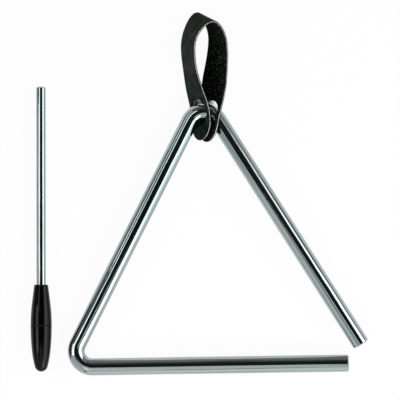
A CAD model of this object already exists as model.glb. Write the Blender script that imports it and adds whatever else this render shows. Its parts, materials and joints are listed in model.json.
import json
import bmesh
import bpy
import numpy as np
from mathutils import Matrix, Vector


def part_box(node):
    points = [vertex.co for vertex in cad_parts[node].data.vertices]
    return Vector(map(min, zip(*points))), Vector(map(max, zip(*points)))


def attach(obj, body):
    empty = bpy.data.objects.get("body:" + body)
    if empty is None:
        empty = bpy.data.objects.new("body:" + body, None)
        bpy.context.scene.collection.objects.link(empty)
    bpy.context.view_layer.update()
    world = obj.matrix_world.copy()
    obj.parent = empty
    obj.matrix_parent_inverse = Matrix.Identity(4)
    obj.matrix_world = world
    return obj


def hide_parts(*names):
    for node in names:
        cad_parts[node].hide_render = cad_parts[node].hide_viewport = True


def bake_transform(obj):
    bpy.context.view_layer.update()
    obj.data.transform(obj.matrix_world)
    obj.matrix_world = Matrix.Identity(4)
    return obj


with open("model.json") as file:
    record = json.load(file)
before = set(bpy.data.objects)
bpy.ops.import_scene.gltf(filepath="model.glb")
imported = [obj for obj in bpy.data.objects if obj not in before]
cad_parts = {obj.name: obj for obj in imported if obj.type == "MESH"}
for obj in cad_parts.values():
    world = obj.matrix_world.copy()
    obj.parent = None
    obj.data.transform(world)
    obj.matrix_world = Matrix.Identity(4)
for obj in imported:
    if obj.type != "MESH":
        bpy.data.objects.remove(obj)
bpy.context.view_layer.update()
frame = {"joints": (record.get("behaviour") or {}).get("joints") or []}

# The triangle is one round steel bar, bent cold round a former at the top and at the lower left, cut
# square at both ends and chrome plated. The bar lies on the table, and the strap props the top corner.
ROD_RADIUS = 0.0045
ROD_CHAMFER = 0.0005
BEND_RADIUS = 0.0084
LEFT_LEG, RIGHT_LEG, BAR = 0.1597, 0.1548, 0.1484
BASE_ANGLE, TOP_ANGLE = np.radians(62.5), np.radians(59.2)
CHROME, CHROME_LINE = (0.385, 0.445, 0.445, 1.0), (0.19, 0.24, 0.25, 1.0)
# Lines from drawing the steel run along the bar, and waves of the polish run across it. Each scale is a
# count to a metre along the bar, and a count to a turn round it
LINE_SCALE, WAVE_SCALE = (7.0, 30.0, 0.0), (70.0, 5.0, 0.0)
LINE_STOPS = (0.37, 0.46)
WAVE_HEIGHT, LINE_HEIGHT_SHARE = 0.00007, 0.3
CHROME_ROUGHNESS, LINE_ROUGHNESS = 0.03, 0.04


class Link:
    """An output socket of a node. Arithmetic on links adds Math nodes to the same tree."""

    def __init__(self, socket):
        self.socket = socket

    def make(self, kind, settings=None, inputs=None, output=0):
        """A new node: its type, its settings, and the values or links of its input sockets."""
        tree = self.socket.id_data
        node = tree.nodes.new(kind)
        for name, value in (settings or {}).items():
            if name == "stops":
                elements = node.color_ramp.elements
                elements.remove(elements[1])
                elements[0].position, elements[0].color = value[0]
                for place, colour in value[1:]:
                    elements.new(place).color = colour
            else:
                setattr(node, name, value)
        for name, value in (inputs or {}).items():
            if isinstance(value, Link):
                tree.links.new(value.socket, node.inputs[name])
            else:
                node.inputs[name].default_value = value
        return Link(node.outputs[output])

    def _math(self, operation, first, second):
        """The result of one operation on two values or links."""
        return self.make("ShaderNodeMath", {"operation": operation}, {0: first, 1: second})

    def __add__(self, other):
        return self._math("ADD", self, other)

    def __radd__(self, other):
        return self._math("ADD", other, self)

    def __sub__(self, other):
        return self._math("SUBTRACT", self, other)

    def __rsub__(self, other):
        return self._math("SUBTRACT", other, self)

    def __mul__(self, other):
        return self._math("MULTIPLY", self, other)

    def __rmul__(self, other):
        return self._math("MULTIPLY", other, self)


def start_finish(name, coordinates="Object", **values):
    """A new material: itself, its surface shader with these plain values, and its coordinates."""
    material = bpy.data.materials.new(name)
    material.use_nodes = True
    shader = material.node_tree.nodes["Principled BSDF"]
    for socket, value in values.items():
        shader.inputs[socket.replace("_", " ")].default_value = value
    return material, shader, Link(shader.outputs[0]).make("ShaderNodeTexCoord", output=coordinates)


def feed(shader, **links):
    """Joins links to the shader's sockets of those names."""
    for socket, link in links.items():
        shader.id_data.links.new(link.socket, shader.inputs[socket.replace("_", " ")])


def stretched(at, scale):
    """Coordinates times a scale along each axis."""
    return at.make("ShaderNodeVectorMath", {"operation": "MULTIPLY"}, {0: at, 1: scale})


def noise(at, scale, detail):
    """Soft random clouds: the scale is their count to a unit, and the detail adds finer ones."""
    return at.make("ShaderNodeTexNoise", None, {"Vector": at, "Scale": scale, "Detail": detail})


def ramp(value, *stops):
    """The colour for a value, blended evenly between stops. Each stop is a value and its colour."""
    return value.make("ShaderNodeValToRGB", {"stops": stops}, {"Fac": value})


def relief(height, strength, distance):
    """Normals of a surface that rises by height times distance, mixed in by the strength."""
    inputs = {"Height": height, "Strength": strength, "Distance": distance}
    return height.make("ShaderNodeBump", None, inputs)


def put_in_scene(name, data):
    """A new object of that name in the scene, made of a mesh, a light or a camera."""
    item = bpy.data.objects.new(name, data)
    bpy.context.scene.collection.objects.link(item)
    return item


def weld(mesh, distance, closed=True):
    """Joins vertices within a distance of each other, turns a closed shape's faces outwards and shades
    all faces smooth."""
    shape = bmesh.new()
    shape.from_mesh(mesh)
    bmesh.ops.remove_doubles(shape, verts=shape.verts, dist=distance)
    if closed:
        bmesh.ops.recalc_face_normals(shape, faces=shape.faces)
    shape.to_mesh(mesh)
    shape.free()
    mesh.polygons.foreach_set("use_smooth", np.ones(len(mesh.polygons), bool))


def run_along(points):
    """The length of a path up to each of its points: the sum of the straight steps before it."""
    return np.concatenate(([0], np.cumsum(np.linalg.norm(np.diff(points, axis=0), axis=1))))


def grid_piece(name, points, finish, sharp_degrees=40.0, weld_distance=1e-7):
    """A closed-round surface: points[i, j] is row i along the piece and column j round it. Rows that
    shrink to one point close the ends, and edges bent more than sharp_degrees stay crisp. The UV map
    holds metres along the piece and turns round it."""
    rows, columns = points.shape[:2]
    index = np.arange(rows * columns).reshape(rows, columns)
    turned = np.roll(index, -1, axis=1)
    quads = np.stack((index[:-1], turned[:-1], turned[1:], index[1:]), axis=-1).reshape(-1, 4)
    mesh = bpy.data.meshes.new(name)
    mesh.from_pydata(points.reshape(-1, 3).tolist(), [], quads.tolist())
    along = run_along(points.mean(axis=1))
    i, j = np.meshgrid(np.arange(rows - 1), np.arange(columns), indexing="ij")
    laid = np.stack((along[[i, i, i + 1, i + 1]], np.stack((j, j + 1, j + 1, j)) / columns), axis=-1)
    mesh.uv_layers.new(name="along_and_round").data.foreach_set("uv", laid.transpose(1, 2, 0, 3).ravel())
    weld(mesh, weld_distance)
    mesh.set_sharp_from_angle(angle=np.radians(sharp_degrees))
    mesh.materials.append(finish)
    return put_in_scene(name, mesh)


def round_bar(path, side, up, radii, columns=96):
    """A circle carried along a path: path + radius (cos v side + sin v up), with v once round from
    below."""
    v = np.linspace(-0.5 * np.pi, 1.5 * np.pi, columns, endpoint=False)
    ring = np.cos(v)[:, None] * side[:, None, :] + np.sin(v)[:, None] * up
    return path[:, None, :] + radii[:, None, None] * ring


def direction(angle):
    """The flat unit vector at an angle from the first axis: its cosine, then its sine."""
    return np.array((np.cos(angle), np.sin(angle)))


def bend_arc(corner, way_in, way_out, radius, steps=40):
    """Points and headings of the arc that rounds a corner. The heading turns evenly from the way in to the
    way out, and each point is the centre minus the radius times the side of its heading."""
    turn = np.arctan2(way_in[0] * way_out[1] - way_in[1] * way_out[0], way_in @ way_out)
    side = np.array((-way_in[1], way_in[0])) * np.sign(turn)
    start = corner - way_in * radius * np.tan(abs(turn) / 2)
    t = np.linspace(0, turn, steps)
    headings = direction(np.arctan2(way_in[1], way_in[0]) + t).T
    sides = np.stack((-headings[:, 1], headings[:, 0]), axis=1) * np.sign(turn)
    return start + radius * side - radius * sides, headings


hook = np.array(next(j["pos_m"] for j in frame["joints"] if j["name"] == "strap_swing"))
way_up = direction(BASE_ANGLE)
way_down = direction(BASE_ANGLE + TOP_ANGLE - np.pi)
way_right = direction(0)
top_corner = LEFT_LEG * way_up
inwards = (way_down - way_up) / np.linalg.norm(way_down - way_up)
bend_top = top_corner + inwards * BEND_RADIUS * (1 / np.sin(TOP_ANGLE / 2) - 1)
right_end = top_corner + way_down * RIGHT_LEG
top_arc, top_heads = bend_arc(top_corner, -way_down, -way_up, BEND_RADIUS)
low_arc, low_heads = bend_arc(np.zeros(2), -way_up, way_right, BEND_RADIUS)
# Each end has three rows: its middle, the rim of its flat face and the foot of its chamfer
end_radii = np.array((0, ROD_RADIUS - ROD_CHAMFER, ROD_RADIUS))
chamfer_in = ROD_CHAMFER * np.array((0, 0, 1))[:, None]
first_rows = right_end - chamfer_in * way_down
last_rows = BAR * way_right - chamfer_in[::-1] * way_right
flat_path = np.concatenate((first_rows, top_arc, low_arc, last_rows))
first_heads = np.repeat([-way_down], len(first_rows), 0)
last_heads = np.repeat([way_right], len(last_rows), 0)
heads = np.concatenate((first_heads, top_heads, low_heads, last_heads))
full_radii = np.full(len(top_arc) + len(low_arc), ROD_RADIUS)
rod_radii = np.concatenate((end_radii, full_radii, end_radii[::-1]))
prop = np.arcsin((hook[2] - ROD_RADIUS) / bend_top[1])
plane = np.array(((1, 0, 0), (0, np.cos(prop), np.sin(prop))))
rod_up = np.array((0, -np.sin(prop), np.cos(prop)))
rod_path = hook + (flat_path - bend_top) @ plane
rod_side = np.stack((heads[:, 1], -heads[:, 0]), axis=1) @ plane

chrome, chrome_shader, chrome_at = start_finish("bright_chrome", "UV", Metallic=1.0)
draw_lines = noise(stretched(chrome_at, LINE_SCALE), scale=1.0, detail=2.0)
waves = noise(stretched(chrome_at, WAVE_SCALE), scale=1.0, detail=2.0)
feed(
    chrome_shader,
    Base_Color=ramp(draw_lines, *zip(LINE_STOPS, (CHROME_LINE, CHROME))),
    Roughness=CHROME_ROUGHNESS + LINE_ROUGHNESS * draw_lines,
    Normal=relief(waves + LINE_HEIGHT_SHARE * draw_lines, strength=1.0, distance=WAVE_HEIGHT),
)
triangle_rod = grid_piece("triangle_bar", round_bar(rod_path, rod_side, rod_up, rod_radii), chrome)
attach(triangle_rod, "triangle")
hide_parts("triangle_rod")

# The holder is one strip of black leather, punched with a hole near each end and rounded past it. The
# rod passes through both holes, so the strip makes a loop for a finger, and it stands on its own edge.
STRAP_WIDTH, STRAP_THICK = 0.0175, 0.0015
EASED_EDGE, EASED_ABOVE = 0.0006, np.radians(50)
HOLE_RADIUS, HOLE_RISE = 0.0068, 0.0002
LEFT_HOLE_X, RIGHT_HOLE_X = -0.0015, 0.004
TONGUE_LENGTH, TONGUE_GAP, TONGUE_X = 0.0148, 0.0009, -0.0002
LOOP_HALF_WIDTH, LOOP_REACH = 0.00785, 0.0494
RAYS, STRIP_ROWS, FINE_STEPS = 72, 181, 2000
STRAP_WELD = 2e-5
# The lean of the strip, as shares of its width in x and y, from the left tongue to the right one, and
# the middle of its loop, as shares of the half width and the reach
LEAN_SHARES = np.array((
    (0.505, 0.04), (0.51, 0.065), (0.445, 0.04), (0.365, -0.02), (0.375, -0.065),
    (0.39, -0.19), (0.445, -0.305), (0.465, -0.14), (0.545, -0.13),
    (0.64, -0.07), (0.705, -0.07), (0.51, -0.055), (0.495, -0.085),
))
LOOP_SHARES = np.array((
    (-0.57, 0.24), (-0.84, 0.445), (-0.96, 0.645), (-0.75, 0.84), (0.25, 1.0),
    (0.84, 0.885), (1.04, 0.695), (0.92, 0.49), (0.74, 0.28),
))
# The strip's UV map is in tenths of a metre, and the scales of the grain and the nap count to a tenth
UV_PER_METRE = 10
PORE_SCALE, CREASE_SCALE, NAP_SCALE, TUFT_SCALE = 130.0, 22.0, 190.0, 150.0
GRAIN_DEPTH, CREASE_DEPTH_SHARE, NAP_DEPTH = 0.0002, 0.8, 0.0003
GRAIN_ROUGHNESS, CREASE_ROUGHNESS = 0.4, 0.2
FLESH_ROUGHNESS, NAP_ROUGHNESS = 0.8, 0.1
GRAIN_STOPS = ((0.36, (0.001, 0.004, 0.002, 1)), (0.64, (0.02, 0.03, 0.024, 1)))
FLESH_STOPS = (
    (0.5, (0.001, 0.003, 0.0015, 1)),
    (0.64, (0.004, 0.007, 0.005, 1)),
    (0.76, (0.13, 0.15, 0.13, 1)),
)
# The fibres of the cut edge count to a metre
FIBRE_SCALE = 900.0
EDGE_STOPS = ((0.35, (0.2, 0.2, 0.19, 1)), (0.65, (0.55, 0.55, 0.53, 1)))


def smooth_curve(knots, values, at):
    """The natural cubic spline through values at knots: its second slopes solve one banded system."""
    h = np.diff(knots)
    n = len(knots)
    band = np.eye(n)
    inner = np.arange(1, n - 1)
    band[inner, inner - 1], band[inner, inner], band[inner, inner + 1] = h[:-1], 2 * (h[:-1] + h[1:]), h[1:]
    slopes = np.diff(values, axis=0) / h[:, None]
    right = np.zeros_like(values)
    right[1:-1] = 6 * np.diff(slopes, axis=0)
    second = np.linalg.solve(band, right)
    i = np.clip(np.searchsorted(knots, at) - 1, 0, n - 2)
    a, b, w = (knots[i + 1] - at)[:, None], (at - knots[i])[:, None], h[i][:, None]
    bent = (second[i] * a**3 + second[i + 1] * b**3) / (6 * w)
    return bent + (values[i] / w - second[i] * w / 6) * a + (values[i + 1] / w - second[i + 1] * w / 6) * b


hook_foot = np.array((hook[0], hook[1], 0))
hole_x = np.array((LEFT_HOLE_X, RIGHT_HOLE_X))
hole_y = np.sqrt(BEND_RADIUS**2 - hole_x**2) - BEND_RADIUS
tip_spread = (STRAP_THICK + TONGUE_GAP) / np.sqrt(1 - LEAN_SHARES[0] @ LEAN_SHARES[0])
holes = np.column_stack((hole_x, hole_y))
tips = np.column_stack((TONGUE_X + tip_spread * np.array((-0.5, 0.5)), hole_y - TONGUE_LENGTH))
loop = LOOP_SHARES * (LOOP_HALF_WIDTH, LOOP_REACH)
middle = np.concatenate((tips[:1], holes[:1], loop, holes[1:], tips[1:]))
ahead = np.concatenate((middle[1:2] - middle[:1], middle[2:] - middle[:-2], middle[-1:] - middle[-2:-1]))
ahead /= np.linalg.norm(ahead, axis=1)[:, None]
foot = STRAP_THICK / 2 * np.abs(LEAN_SHARES[:, 0] * ahead[:, 1] - LEAN_SHARES[:, 1] * ahead[:, 0])
rule = np.column_stack((LEAN_SHARES, np.sqrt(1 - (LEAN_SHARES**2).sum(1)))) * STRAP_WIDTH
low_points = np.column_stack((middle - LEAN_SHARES * STRAP_WIDTH / 2, foot))
station_run = run_along(low_points + rule / 2)
fine_run = np.linspace(0, station_run[-1], FINE_STEPS)
fine_length = run_along(smooth_curve(station_run, low_points + rule / 2, fine_run))
strip_length = fine_length[-1]
hole_s = np.interp(station_run[[1, -2]], fine_run, fine_length) + np.array((HOLE_RISE, -HOLE_RISE))


def on_strip(s, u):
    """A point s along the strip's middle and u across it: its low edge plus a share of the rule there."""
    run = np.interp(s.ravel(), fine_length, fine_run)
    low = smooth_curve(station_run, low_points, run)
    across = smooth_curve(station_run, rule, run)
    return low + (u.ravel() / STRAP_WIDTH + 0.5)[:, None] * across + hook_foot


def tongue_patch(tongue_length, rings=4, crowding=0.8):
    """The flat end round a hole: rays from the hole's rim to the outline, which is a straight join
    towards the loop, two straight sides, and a half circle at the tip."""
    half = STRAP_WIDTH / 2
    angle = np.linspace(-np.pi / 4, 7 * np.pi / 4, RAYS, endpoint=False)
    c, s = direction(angle)
    straight = half / np.maximum(np.abs(c) * (c > 0), np.abs(s))
    back = tongue_length - half
    rounded = -back * c + np.sqrt(np.maximum(half**2 - (back * s) ** 2, 0))
    reach = np.where(straight * c > -back, straight, rounded)
    share = np.linspace(0, 1, rings)[:, None] ** crowding
    radius = HOLE_RADIUS + share * (reach - HOLE_RADIUS)
    return radius * c, radius * s


left_s, left_u = tongue_patch(hole_s[0])
right_s, right_u = tongue_patch(strip_length - hole_s[1])
join = STRAP_WIDTH / 2
columns_u = left_u[-1, : RAYS // 4 + 1]
main_s = np.linspace(hole_s[0] + join, hole_s[1] - join, STRIP_ROWS)
grid_s, grid_u = np.meshgrid(main_s, columns_u, indexing="ij")
flat_s = np.concatenate((grid_s.ravel(), (hole_s[0] + left_s).ravel(), (hole_s[1] - right_s).ravel()))
flat_u = np.concatenate((grid_u.ravel(), left_u.ravel(), right_u.ravel()))
main_index = np.arange(grid_s.size).reshape(grid_s.shape)
patch_index = np.arange(left_s.size).reshape(left_s.shape)


def quads_of(index, closed, flip):
    """Four-cornered faces of a grid of vertex numbers, once round where it is closed."""
    wide = np.concatenate((index, index[:, :1]), axis=1) if closed else index
    faces = np.stack((wide[:-1, :-1], wide[1:, :-1], wide[1:, 1:], wide[:-1, 1:]), axis=-1).reshape(-1, 4)
    return faces[:, ::-1] if flip else faces


strap_faces = np.concatenate((
    quads_of(main_index, False, False),
    quads_of(grid_s.size + patch_index, True, False),
    quads_of(grid_s.size + left_s.size + patch_index, True, True),
))
strap_mesh = bpy.data.meshes.new("leather_strap")
strap_mesh.from_pydata(on_strip(flat_s, flat_u).tolist(), [], strap_faces.tolist())
strap_uv = strap_mesh.uv_layers.new(name="strip")
corners = np.zeros(len(strap_mesh.loops), np.int32)
strap_mesh.loops.foreach_get("vertex_index", corners)
strap_uv.data.foreach_set("uv", np.column_stack((flat_s, flat_u))[corners].ravel() * UV_PER_METRE)
weld(strap_mesh, STRAP_WELD, closed=False)

grain, grain_shader, grain_uv = start_finish("grain_side", "UV", Specular_IOR_Level=0.022)
pores = grain_uv.make("ShaderNodeTexVoronoi", {"feature": "F1"}, {"Vector": grain_uv, "Scale": PORE_SCALE})
creases = noise(grain_uv, CREASE_SCALE, detail=5.0)
feed(
    grain_shader,
    Base_Color=ramp(creases, *GRAIN_STOPS),
    Roughness=GRAIN_ROUGHNESS + CREASE_ROUGHNESS * creases,
    Normal=relief(pores + CREASE_DEPTH_SHARE * creases, strength=0.6, distance=GRAIN_DEPTH),
)

flesh, flesh_shader, flesh_uv = start_finish("flesh_side", "UV", Specular_IOR_Level=0.02)
nap = noise(flesh_uv, NAP_SCALE, detail=4.0)
tufts = noise(flesh_uv, TUFT_SCALE, detail=0.0)
feed(
    flesh_shader,
    Base_Color=ramp(tufts, *FLESH_STOPS),
    Roughness=FLESH_ROUGHNESS + NAP_ROUGHNESS * nap,
    Normal=relief(nap, strength=0.7, distance=NAP_DEPTH),
)

raw_edge, edge_shader, edge_at = start_finish("cut_edge", Specular_IOR_Level=0.3, Roughness=0.55)
fibres = noise(edge_at, FIBRE_SCALE, detail=3.0)
feed(edge_shader, Base_Color=ramp(fibres, *EDGE_STOPS))

# The sheet itself carries the first finish, inside the loop. The thickness gives its other face the next
# one and its rim the last, and the eased edges are in the grain's finish
for finish in (flesh, grain, raw_edge):
    strap_mesh.materials.append(finish)
strap = put_in_scene("leather_strap", strap_mesh)
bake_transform(strap)
body = strap.modifiers.new("thickness", "SOLIDIFY")
body.thickness = STRAP_THICK
body.offset = 0.0
body.use_even_offset = True
body.material_offset = 1
body.material_offset_rim = 2
eased = strap.modifiers.new("eased_edges", "BEVEL")
eased.width = EASED_EDGE
eased.segments = 3
eased.limit_method = "ANGLE"
eased.angle_limit = EASED_ABOVE
eased.material = 1
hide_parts("holder_strap")

# The beater is a straight length of thinner rod, chrome plated like the triangle and chamfered at both
# ends. It is pressed into the bore of the grip, so its inner end is out of sight.
SHAFT_RADIUS = 0.0025
SHAFT_SHOWING = 0.104
SHAFT_CHAMFER = 0.0006
BORE = 0.032
GRIP_LENGTH = 0.0457
BELLY_RADIUS = 0.0056
BELLY_DOWN = 0.47 * GRIP_LENGTH
BEATER_TURN = np.radians(-0.7)
BELLY_FROM_BAR = (-0.01275, 0.0222)
belly_xy = BELLY_FROM_BAR + hook[:2] - bend_top * (1, np.cos(prop))
dip = np.arcsin((BELLY_RADIUS - SHAFT_RADIUS) / (BELLY_DOWN + SHAFT_SHOWING))
beater_way = np.array((-np.sin(BEATER_TURN) * np.cos(dip), np.cos(BEATER_TURN) * np.cos(dip), -np.sin(dip)))
beater_side = np.array((*direction(BEATER_TURN), 0))
beater_up = np.cross(beater_side, beater_way)
belly = np.array((*belly_xy, BELLY_RADIUS * np.cos(dip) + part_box("beater_grip")[0].z))


def turned_piece(along, radii):
    """A turned shape: at each distance along the beater's line from the belly, a circle of that radius
    square to the line."""
    path = belly + along[:, None] * beater_way
    return round_bar(path, np.repeat([beater_side], len(along), 0), beater_up, radii)


tip_at = BELLY_DOWN + SHAFT_SHOWING
inner_at = BELLY_DOWN - BORE
shaft_along = np.repeat((inner_at, tip_at), 3) + SHAFT_CHAMFER * np.array((0, 0, 1, -1, 0, 0))
shaft_radii = SHAFT_RADIUS - SHAFT_CHAMFER * np.array((0, 1, 0, 0, 1, 0))
shaft_radii[[0, -1]] = 0
shaft = grid_piece("beater_rod", turned_piece(shaft_along, shaft_radii), chrome)
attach(shaft, "beater")
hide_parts("beater_shaft")

# The grip is one spindle-shaped moulding in glossy black plastic. The halves of its mould leave a fine,
# dull seam round the widest part, and its mouth is cut square and slightly chamfered round the shaft.
MOUTH_RADIUS = 0.00365
MOUTH_CHAMFER = 0.0004
MOUTH_WALL = 0.002
TAPER_CORNER = 0.13 * GRIP_LENGTH
FLANK_DOWN, FLANK_RADIUS = 0.3 * GRIP_LENGTH, 2.8 * GRIP_LENGTH
NOSE_RADIUS = 0.62 * BELLY_RADIUS
SEAM_WIDTH, SEAM_DEPTH = 0.0003, 0.00015
GRIP_SHARP_DEGREES = 25.0
GRIP_BLACK = (0.0015, 0.0015, 0.0016, 1.0)
HANDLING_SCALE = 150.0
GRIP_ROUGHNESS, HANDLING_ROUGHNESS, SEAM_ROUGHNESS = 0.07, 0.06, 0.6
# The dull line fades out between these distances from the seam. They are in millimetres, because a ramp
# has too few steps for them in metres
DULL_STOPS = (0.25, 0.4)
MM_PER_METRE = 1000.0


def arc_rows(centre, radius, first, last, rows):
    """Rows of a profile on an arc: (radius cos t, radius sin t) from its centre, for t from first to
    last."""
    return centre + radius * direction(np.linspace(first, last, rows)).T


def grey(level):
    """The colour with that level in all its channels."""
    return (level, level, level, 1)


mouth = np.array((MOUTH_RADIUS, BELLY_DOWN))
corner = np.array((BELLY_RADIUS, TAPER_CORNER))
taper = (mouth - corner) / np.linalg.norm(mouth - corner)
taper_turn = np.arctan2(-taper[0], taper[1])
shoulder_radius = TAPER_CORNER / np.tan(taper_turn / 2)
shoulder_centre = np.array((BELLY_RADIUS - shoulder_radius, 0))
flank_turn = -np.arcsin(FLANK_DOWN / FLANK_RADIUS)
flank_centre = np.array((BELLY_RADIUS - FLANK_RADIUS, 0))
outwards = direction(flank_turn)
flank_end = flank_centre + FLANK_RADIUS * outwards
nose_centre = np.array((0, BELLY_DOWN - GRIP_LENGTH + NOSE_RADIUS))
from_nose = flank_end - nose_centre
waist_radius = (from_nose @ from_nose - NOSE_RADIUS**2) / 2 / (from_nose @ outwards - NOSE_RADIUS)
waist_centre = flank_end - waist_radius * outwards
nose_turn = np.arctan2(*(nose_centre - waist_centre)[::-1])
half_seam = SEAM_WIDTH / 2
seam_floor = BELLY_RADIUS - SEAM_DEPTH
grip_rows = np.concatenate((
    ((SHAFT_RADIUS, BELLY_DOWN - MOUTH_WALL), (SHAFT_RADIUS, BELLY_DOWN)),
    ((MOUTH_RADIUS - MOUTH_CHAMFER, BELLY_DOWN), mouth - MOUTH_CHAMFER * taper),
    arc_rows(shoulder_centre, shoulder_radius, taper_turn, half_seam / shoulder_radius, rows=24),
    ((seam_floor, half_seam), (seam_floor, -half_seam)),
    arc_rows(flank_centre, FLANK_RADIUS, -half_seam / FLANK_RADIUS, flank_turn, rows=24),
    arc_rows(waist_centre, waist_radius, flank_turn, nose_turn, rows=16)[1:],
    arc_rows(nose_centre, NOSE_RADIUS, nose_turn, -np.pi / 2, rows=16)[1:],
))
plastic, plastic_shader, plastic_at = start_finish("gloss_black_plastic", Base_Color=GRIP_BLACK, IOR=1.28)
handling = noise(plastic_at, HANDLING_SCALE, detail=4.0)
along_beater = plastic_at.make(
    "ShaderNodeVectorMath", {"operation": "DOT_PRODUCT"}, {0: plastic_at, 1: tuple(beater_way)}, 1
)
past_seam = MM_PER_METRE * (along_beater - float(belly @ beater_way))
off_seam = plastic_at.make("ShaderNodeMath", {"operation": "ABSOLUTE"}, {0: past_seam})
dull_seam = ramp(off_seam, *zip(DULL_STOPS, (grey(1), grey(0))))
feed(
    plastic_shader,
    Roughness=GRIP_ROUGHNESS + HANDLING_ROUGHNESS * handling + SEAM_ROUGHNESS * dull_seam,
)
grip_points = turned_piece(grip_rows[:, 1], np.maximum(grip_rows[:, 0], 0))
grip = grid_piece("beater_handle", grip_points, plastic, GRIP_SHARP_DEGREES)
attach(grip, "beater")
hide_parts("beater_grip")

# The set lies on a white table in a plain studio, with soft boxes, pale boards and narrow slats of light
# on all sides of it and a dim room above. The table shows white with a faint shadow, and it turns dark
# where the strap and the rod close in on it.
TABLE_HALF = 8.0
# Seen straight or in a reflection, the table shows this share of an even white of its own
GLOW_SHARE = 0.94
# How open the table lies is judged within this reach. Away from the hook it counts as more open, by a lift
SHADE_REACH = 0.009
HOOK_STOPS, HOOK_LIFT = (0.009, 0.013), 0.26
SHADE_STOPS = (0.37, 0.5)
SHADE_TONE, TABLE_TONE = 0.16, 0.92
# Each light's tilt from overhead and azimuth from +X in degrees, distance, width, height and radiance
STUDIO_LIGHTS = {
    "right_box": (51, -17, 0.9, 1.3, 0.54, 2.6),
    "corner_box": (52, 301, 1.0, 0.36, 0.56, 3.0),
    "right_board": (76, -12, 1.2, 1.35, 0.55, 1.1),
    "left_box": (47, 186, 0.9, 0.4, 0.46, 2.4),
    "left_board": (58, 222, 1.1, 1.0, 1.1, 0.66),
    "upper_slat": (31, 139, 1.2, 0.62, 0.2, 2.1),
    "lower_slat": (60, 142, 1.2, 0.68, 0.2, 2.0),
    "far_slat": (37, 42, 1.2, 0.5, 0.12, 0.7),
    "far_board": (65, 42, 1.2, 0.5, 0.4, 0.3),
    "near_board": (54, 270, 1.1, 0.72, 1.9, 0.82),
}
# The room's colour by height, from the horizon up, and the share of it that is left, from a dark doorway
# at -X, which counts as 0, towards +X, which counts as 1
ROOM_STOPS = (
    (0.0, grey(0.36)),
    (0.06, grey(0.34)),
    (0.34, (0.28, 0.29, 0.28, 1)),
    (0.57, (0.17, 0.18, 0.165, 1)),
    (0.77, (0.065, 0.07, 0.06, 1)),
    (0.9, grey(0.02)),
)
DOORWAY_STOPS = ((0.005, grey(0.08)), (0.06, grey(0.6)), (0.2, grey(1)))

table_corners = TABLE_HALF * np.array(((-1, -1, 0), (1, -1, 0), (1, 1, 0), (-1, 1, 0)))
floor_mesh = bpy.data.meshes.new("table_top")
floor_mesh.from_pydata(table_corners.tolist(), [], [(0, 1, 2, 3)])
table_white, table_shader, table_at = start_finish("table_white", Roughness=0.9)
ray = table_at.make("ShaderNodeLightPath")
seen = ray.socket.node.outputs
shown = Link(seen["Is Camera Ray"]) + Link(seen["Is Glossy Ray"]) + Link(seen["Is Transmission Ray"])
glow = table_at.make("ShaderNodeEmission", None, {"Color": grey(1), "Strength": 1.0})
sky_share = table_at.make("ShaderNodeAmbientOcclusion", {"samples": 16}, {"Distance": SHADE_REACH}, 1)
from_hook = table_at.make(
    "ShaderNodeVectorMath", {"operation": "DISTANCE"}, {0: table_at, 1: tuple(hook_foot)}, 1
)
past_hook = ramp(from_hook, *zip(HOOK_STOPS, (grey(0), grey(1))))
open_share = sky_share + HOOK_LIFT * past_hook
open_air = ramp(open_share, *zip(SHADE_STOPS, (grey(0), grey(1))))
feed(table_shader, Base_Color=ramp(open_share, *zip(SHADE_STOPS, (grey(SHADE_TONE), grey(TABLE_TONE)))))
surface = Link(table_shader.outputs[0])
mixed = surface.make("ShaderNodeMixShader", None, {0: GLOW_SHARE * shown * open_air, 1: surface, 2: glow})
table_out = table_white.node_tree.nodes["Material Output"]
table_white.node_tree.links.new(mixed.socket, table_out.inputs["Surface"])
floor_mesh.materials.append(table_white)
floor = put_in_scene("table_top", floor_mesh)


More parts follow.
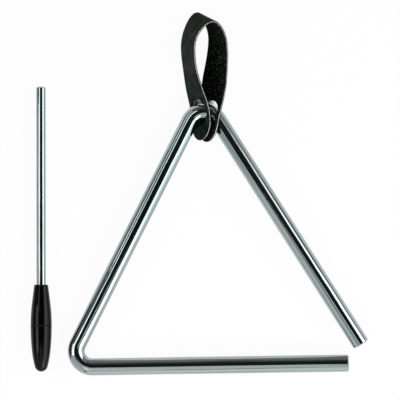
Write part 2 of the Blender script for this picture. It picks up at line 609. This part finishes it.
def soft_box(name, aim_from, width, height, radiance):
    """A rectangle of light that faces the middle of the table. Its power is pi times its area times its
    radiance."""
    light = bpy.data.lights.new(name, "AREA")
    light.shape = "RECTANGLE"
    light.size, light.size_y = width, height
    light.energy = np.pi * width * height * radiance
    lamp = put_in_scene(name, light)
    lamp.location = aim_from
    lamp.rotation_mode = "QUATERNION"
    lamp.rotation_quaternion = lamp.location.to_track_quat("Z", "Y")
    lamp.visible_camera = False


def from_zenith(tilt_degrees, azimuth_degrees, distance):
    """A place that far from the table's middle, tilted from overhead towards an azimuth from +X."""
    tilt, azimuth = np.radians((tilt_degrees, azimuth_degrees))
    flat = distance * np.sin(tilt)
    return (*(flat * direction(azimuth)), distance * np.cos(tilt))


for light_name, (tilt, azimuth, distance, width, height, radiance) in STUDIO_LIGHTS.items():
    soft_box(light_name, from_zenith(tilt, azimuth, distance), width, height, radiance)

world = bpy.data.worlds.new("dim_room")
world.use_nodes = True
room = world.node_tree.nodes["Background"]
compass = Link(room.outputs[0]).make("ShaderNodeTexCoord", output="Generated")
upwards = compass.make("ShaderNodeSeparateXYZ", None, {0: compass}, 2)
sideways = Link(upwards.socket.node.outputs[0])
room_tone = ramp(upwards, *ROOM_STOPS)
doorway = ramp(0.5 + 0.5 * sideways, *DOORWAY_STOPS)
room_light = compass.make(
    "ShaderNodeMix", {"data_type": "RGBA", "blend_type": "MULTIPLY"}, {0: 1.0, 6: room_tone, 7: doorway}, 2
)
world.node_tree.links.new(room_light.socket, room.inputs["Color"])
bpy.context.scene.world = world

# The camera hangs over the table and looks straight down, with the bar turned a little against the frame.
# The lens takes in the view's width at about the mean height of the rod.
VIEW_WIDTH, CAMERA_HEIGHT, FOCUS_HEIGHT = 0.210, 1.5, 0.006
AIM_FROM_HOOK = (-0.00245, -0.04615)
CAMERA_TURN = np.radians(-0.84)
lens = bpy.data.cameras.new("overhead")
lens.lens = lens.sensor_width * (CAMERA_HEIGHT - FOCUS_HEIGHT) / VIEW_WIDTH
camera = put_in_scene("overhead", lens)
camera.location = (hook[0] + AIM_FROM_HOOK[0], hook[1] + AIM_FROM_HOOK[1], CAMERA_HEIGHT)
camera.rotation_euler = (0, 0, CAMERA_TURN)
bpy.context.scene.camera = camera
bpy.context.scene.view_settings.view_transform = "Standard"
